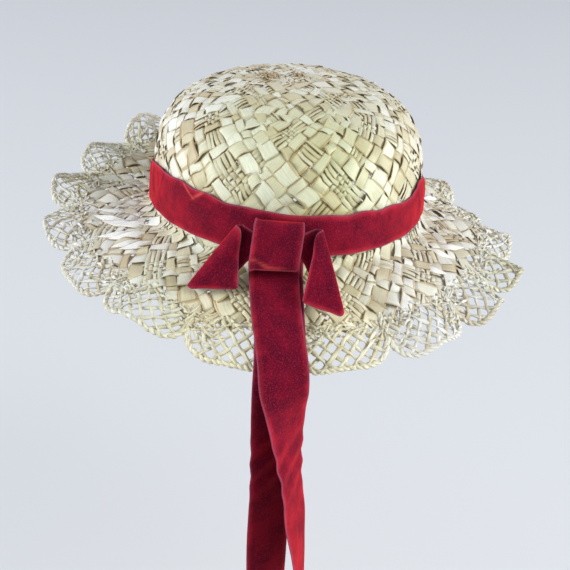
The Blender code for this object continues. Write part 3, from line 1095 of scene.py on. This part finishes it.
def smoothRange(value, low, high, start=0.0, end=1.0):
    inputs = {"Value": value, "From Min": low, "From Max": high, "To Min": start, "To Max": end}
    made = addNode(value.id_data, "ShaderNodeMapRange", inputs, interpolation_type="SMOOTHSTEP")
    return made["Result"]


def blend(share, first, second, how="MIX"):
    node = treeOf((share, first, second)).nodes.new("ShaderNodeMix")
    node.data_type = "RGBA"
    node.blend_type = how
    places = [place for place, spot in enumerate(node.inputs) if spot.enabled]
    values = [(*value, 1.0) if isinstance(value, tuple) else value for value in (share, first, second)]
    wire(node, dict(zip(places, values)))
    return [spot for spot in node.outputs if spot.enabled][0]


def stain(share, colour, tone):
    return blend(share, colour, blend(1.0, colour, tone, "MULTIPLY"))


def rampNode(value, stops):
    node = value.id_data.nodes.new("ShaderNodeValToRGB")
    while len(node.color_ramp.elements) < len(stops):
        node.color_ramp.elements.new(0.5)
    for element, (place, colour) in zip(node.color_ramp.elements, stops):
        element.position = place
        element.color = (*colour, 1.0)
    wire(node, {"Fac": value})
    return node.outputs["Color"]


# Straw. Each mask is where it begins and ends, and its two values.
strawLook = {
    "ramp": [
        (0.00, (0.95, 0.95, 0.93)),
        (0.12, (0.82, 0.82, 0.79)),
        (0.34, (0.77, 0.76, 0.69)),
        (0.56, (0.69, 0.66, 0.54)),
        (0.74, (0.61, 0.54, 0.38)),
        (0.95, (0.47, 0.36, 0.22)),
    ],
    "grainNoise": (2.2, 5.0, 0.7),
    "patchNoise": (28.0, 2.0),
    "regionNoise": (9.0, 1.0),
    "tintShare": 0.62,
    "patchShare": 0.38,
    "grainScale": (45.0, 5.0, 83.0),
    # painted shade at the middle of the back, and the straw's own green patches
    "greenAndShade": (0.80, 0.84, 0.58),
    "middleShadeAcross": (0.085, 0.015, 0.0, 0.75),
    "middleShadeBack": (0.0, -0.07),
    "greenPatches": (0.46, 0.66, -0.05, 0.35),
    # a painted pool of light, brighter and yellower, low on the brim at the middle of the back
    "paintedLightPool": (0.84, 0.77, 0.52),
    "paintedLightPoolBack": (-0.108, -0.122),
    "paintedLightPoolAcross": (0.09, 0.03),
    "streak": (0.74, 0.66, 0.46),
    "streakMask": (0.38, 0.68, 0.0, 0.55),
    # the tan of the strips' edges, with painted shade where strips meet
    "rimTanShade": (0.70, 0.57, 0.38),
    "rimTanShadeMask": (0.82, 1.0, 0.0, 0.92),
    # painted shade where a strand dives under another
    "underShade": (0.62, 0.54, 0.38),
    "underShadeMask": (0.5, -0.6, 0.0, 0.5),
    "roughness": (0.2, 0.8, 0.30, 0.52),
    "bump": (0.7, 0.0004),
    "gloss": 0.60,
    "sheen": 0.12,
}


# the colour and relief come from each strand's own length, width, tint and height
def makeStrawGroup():
    tree = bpy.data.node_groups.new("strawFibre", "ShaderNodeTree")
    socket(tree, "Tan", "NodeSocketFloat")
    socket(tree, "Depth", "NodeSocketFloat")
    socket(tree, "Colour", "NodeSocketColor", inward=False)
    socket(tree, "Roughness", "NodeSocketFloat", inward=False)
    socket(tree, "Relief", "NodeSocketFloat", inward=False)
    look = strawLook
    given = addNode(tree, "NodeGroupInput", {})
    names = ("tint", "across", "along", "shade")
    tint, across, along, shade = [readAttribute(tree, name) for name in names]
    scaled = [times(value, scale) for value, scale in zip((along, across, tint), look["grainScale"])]
    lengthwise = addNode(tree, "ShaderNodeCombineXYZ", dict(zip("XYZ", scaled)))["Vector"]
    grain = noiseNode(lengthwise, *look["grainNoise"])
    place = addNode(tree, "ShaderNodeTexCoord", {})["Object"]
    patch, region = noiseNode(place, *look["patchNoise"]), noiseNode(place, *look["regionNoise"])
    mixed = plus(times(tint, look["tintShare"]), times(patch, look["patchShare"]))
    colour = rampNode(plus(mixed, given["Tan"], True), look["ramp"])
    # painted shade: the straw is greener towards the middle of the back, away from the side lights
    apart = addNode(tree, "ShaderNodeSeparateXYZ", {"Vector": place})
    aside = mathNode("ABSOLUTE", apart["X"])
    middle = smoothRange(aside, *look["middleShadeAcross"])
    middle = times(middle, smoothRange(apart["Y"], *look["middleShadeBack"]))
    # the green also falls in random patches, which are the straw's own
    greenAndShade = plus(middle, smoothRange(region, *look["greenPatches"]), True)
    colour = stain(greenAndShade, colour, look["greenAndShade"])
    # painted light: the brim is brighter and yellower low at the middle of the back
    low = times(smoothRange(apart["Y"], *look["paintedLightPoolBack"]), 0.5)
    low = times(low, smoothRange(aside, *look["paintedLightPoolAcross"]))
    colour = blend(low, colour, look["paintedLightPool"])
    colour = stain(smoothRange(grain, *look["streakMask"]), colour, look["streak"])
    # the rims are tan and carry painted shade where strips meet, wider on some lengths than on others
    ragged = plus(times(mathNode("SUBTRACT", patch, 0.5), 0.9), times(grain, 0.2))
    rimTanShade = smoothRange(plus(mathNode("ABSOLUTE", across), ragged), *look["rimTanShadeMask"])
    colour = stain(times(rimTanShade, given["Depth"]), colour, look["rimTanShade"])
    # painted shade: strands are darker where they dive under others, scaled by the shade depth
    underShade = times(smoothRange(shade, *look["underShadeMask"]), given["Depth"])
    colour = stain(underShade, colour, look["underShade"])
    roughness = smoothRange(grain, *look["roughness"])
    relief = plus(grain, times(patch, 0.3))
    made = {"Colour": colour, "Roughness": roughness, "Relief": relief}
    wire(tree.nodes.new("NodeGroupOutput"), made)
    return tree


def newMaterial(name):
    material = bpy.data.materials.new(name)
    material.use_nodes = True
    return material, material.node_tree, material.node_tree.nodes["Principled BSDF"]


def bumpNode(height, strength, distance):
    inputs = {"Height": height, "Strength": strength, "Distance": distance}
    return addNode(height.id_data, "ShaderNodeBump", inputs)["Normal"]


def makeStraw(name, tan, depth):
    material, tree, shader = newMaterial(name)
    fibre = addNode(tree, "ShaderNodeGroup", {"Tan": tan, "Depth": depth}, node_tree=strawGroup)
    wire(shader, {
        "Base Color": fibre["Colour"],
        "Roughness": fibre["Roughness"],
        "Normal": bumpNode(fibre["Relief"], *strawLook["bump"]),
        "Specular IOR Level": strawLook["gloss"],
        "Sheen Weight": strawLook["sheen"],
    })
    return material


# Velvet ribbon: its pile, where it is rubbed, its painted sheen and highlights, and its woven edge.
velvetLook = {
    "pileNoise": (1250.0, 3.0, 0.8),
    "rubbedNoise": (60.0, 4.0, 0.65),
    "darkBody": (0.085, 0.0006, 0.0115),
    "lightBody": (0.165, 0.0014, 0.0150),
    "bodyMask": (0.36, 0.66),
    "facing": 0.32,
    # painted sheen, brighter red where the ribbon turns away from the view
    "paintedSheen": (0.54, 0.018, 0.018),
    "paintedSheenMask": (0.3, 0.7, 0.45, 1.35),
    "speck": (0.36, 0.022, 0.060),
    "speckMask": (0.48, 0.70, 0.0, 0.55),
    # painted highlight along the edges, where the pile catches the light
    "edgeHighlight": (0.52, 0.026, 0.040),
    "edgeHighlightInset": (0.0042, 0.0008),
    "edgeHighlightMask": (0.3, 0.7, 0.1, 0.6),
    # painted highlight along creases
    "creaseHighlightTone": (0.66, 0.085, 0.070),
    "creaseHighlightMask": (0.3, 0.6, 0.45, 0.9),
    "woven": (0.27, 0.060, 0.105),
    "wovenReach": 0.00070,
    "wovenTooth": 0.00026,
    "wovenPitch": 5200.0,
    "bump": (0.55, 0.0005),
    "roughness": 0.9,
    "gloss": 0.10,
    "sheen": 0.20,
    "sheenRoughness": 0.40,
    "sheenTint": (1.0, 0.05, 0.07, 1),
}


def makeVelvet():
    material, tree, shader = newMaterial("velvet")
    look = velvetLook
    place = addNode(tree, "ShaderNodeTexCoord", {})["Object"]
    pile = noiseNode(place, *look["pileNoise"])
    rubbed = noiseNode(place, *look["rubbedNoise"])
    # painted sheen: brighter red where the surface turns away from the view, patchy with the rubbed pile
    facing = addNode(tree, "ShaderNodeLayerWeight", {"Blend": look["facing"]})["Facing"]
    paintedSheen = times(mathNode("POWER", facing, 1.5), smoothRange(rubbed, *look["paintedSheenMask"]), True)
    body = smoothRange(rubbed, *look["bodyMask"])
    colour = blend(body, look["darkBody"], look["lightBody"])
    colour = blend(paintedSheen, colour, look["paintedSheen"])
    colour = blend(smoothRange(pile, *look["speckMask"]), colour, look["speck"])
    # painted highlight: the pile is painted brighter near the edges, where it catches the light, and along
    # creases
    inset, along, creaseHighlight = [readAttribute(tree, name) for name in ("inset", "along", "creaseHighlight")]
    edgeHighlight = smoothRange(inset, *look["edgeHighlightInset"])
    edgeHighlight = times(edgeHighlight, smoothRange(rubbed, *look["edgeHighlightMask"]))
    colour = blend(edgeHighlight, colour, look["edgeHighlight"])
    creaseHighlight = times(creaseHighlight, smoothRange(rubbed, *look["creaseHighlightMask"]))
    colour = blend(creaseHighlight, colour, look["creaseHighlightTone"])
    # the woven edge is paler and bluer
    tooth = mathNode("SINE", times(along, look["wovenPitch"]))
    reach = plus(times(tooth, look["wovenTooth"]), look["wovenReach"])
    edge = mathNode("LESS_THAN", inset, plus(reach, times(pile, 0.0003)))
    wire(shader, {
        "Base Color": blend(times(edge, 0.65), colour, look["woven"]),
        "Normal": bumpNode(plus(pile, times(rubbed, 1.6)), *look["bump"]),
        "Roughness": look["roughness"],
        "Specular IOR Level": look["gloss"],
        "Sheen Weight": look["sheen"],
        "Sheen Roughness": look["sheenRoughness"],
        "Sheen Tint": look["sheenTint"],
    })
    return material


sweepTree = makeSweepTree()
strawGroup = makeStrawGroup()
# the shade depth sets how strongly the painted shade at rims and under crossings is laid on
straw = makeStraw("straw", tan=0.0, depth=1.0)
laceStraw = makeStraw("lace_straw", tan=-0.08, depth=0.5)
crown = sweepStrands("crown_weave", [*makeCrownStrands(), *makeApexStrands()], straw, edgePower=0.25)
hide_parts("crown")
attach(crown, "root")
brim = sweepStrands("brim_weave", [*makeBrimStrands(), *makeLooseEnds()], straw, edgePower=0.25)
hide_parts("brim")
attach(brim, "root")
print("close weave made")
for index in range(len(scallops)):
    chance = np.random.default_rng(lace["seed"] + index)
    strands = [*netStrands(index, chance), *tangleStrands(index, chance)]
    strands += [*braidStrands(index, chance), *notchStrands(index, chance)]
    piece = sweepStrands(f"lace_{index + 1:02d}", strands, laceStraw)
    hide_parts(f"scallop_{index + 1:02d}")
    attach(piece, "root")
print("border made")
velvet = makeVelvet()
band, flat = makeBand(velvet)
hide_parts("band")
knot, flat = makeKnot(velvet)
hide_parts("knot")
for name, rows in (("left_tail", leftTail), ("right_tail", rightTail)):
    tail, flat = makeRibbon(name + "_ribbon", *smoothRows(rows), velvet)
    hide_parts(name)
for name, streamer in (("streamer_front", frontStreamer), ("streamer_back", backStreamer)):
    edges = smoothRows(streamerRows(streamer))
    hanging, flat = makeRibbon(name + "_ribbon", *edges, velvet, shape=streamerShape)
    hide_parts(name)
print("ribbon made")

# The camera stands where the photo was taken from. Its turns are in degrees.
view = {
    "distance": 0.85,
    "rise": 19,
    "lens": 85.45,
    "sensor": 36,
    "turns": (("X", -3.38), ("Y", -0.147), ("Z", 3.2)),
}


def makeCamera():
    data = bpy.data.cameras.new("camera")
    data.sensor_width = view["sensor"]
    data.lens = view["lens"]
    camera = addObject("camera", data)
    rise = math.radians(view["rise"])
    place = Vector((0, -view["distance"] * math.cos(rise), view["distance"] * math.sin(rise)))
    stand = Matrix.Translation(place) @ (-place).to_track_quat("-Z", "Y").to_matrix().to_4x4()
    for axis, turn in view["turns"]:
        stand = stand @ Matrix.Rotation(math.radians(turn), 4, axis)
    camera.matrix_world = stand
    bpy.context.scene.camera = camera


# Two wide soft windows and a small light from above: name, place, size, power and colour.
studio = {
    "lights": [
        ("left_window", (-7.8, -2.0, 2.3), 4.0, 820, (0.93, 0.97, 1.0)),
        ("right_window", (7.8, -1.6, 2.1), 4.0, 770, (0.93, 0.97, 1.0)),
        ("top_light", (1.2, -0.7, 1.3), 0.9, 7, (1.0, 0.98, 0.95)),
    ],
    "floorReach": 40,
    "floorLevel": -0.32,
    "floorColour": (0.70, 0.70, 0.71, 1),
    "floorRoughness": 0.8,
    "sky": (0.80, 0.85, 0.95, 1),
    "skyStrength": 0.48,
}


def makeAreaLight(name, place, size, power, colour):
    data = bpy.data.lights.new(name, "AREA")
    data.size = size
    data.energy = power
    data.color = colour
    light = addObject(name, data)
    light.location = place
    light.rotation_euler = (-Vector(place)).to_track_quat("-Z", "Y").to_euler()


def makeStage():
    material, _, shader = newMaterial("pale_floor")
    wire(shader, {"Base Color": studio["floorColour"], "Roughness": studio["floorRoughness"]})
    mesh = bpy.data.meshes.new("floor")
    reach, level = studio["floorReach"], studio["floorLevel"]
    corners = [(x * reach, y * reach, level) for x, y in ((-1, -1), (1, -1), (1, 1), (-1, 1))]
    mesh.from_pydata(corners, [], [(0, 1, 2, 3)])
    mesh.materials.append(material)
    floor = addObject("floor", mesh)
    world = bpy.data.worlds.new("studio")
    world.use_nodes = True
    background = world.node_tree.nodes["Background"]
    wire(background, {"Color": studio["sky"], "Strength": studio["skyStrength"]})
    bpy.context.scene.world = world


makeCamera()
makeStage()
bpy.context.scene.view_settings.view_transform = "Standard"
for light in studio["lights"]:
    makeAreaLight(*light)
print("studio made")
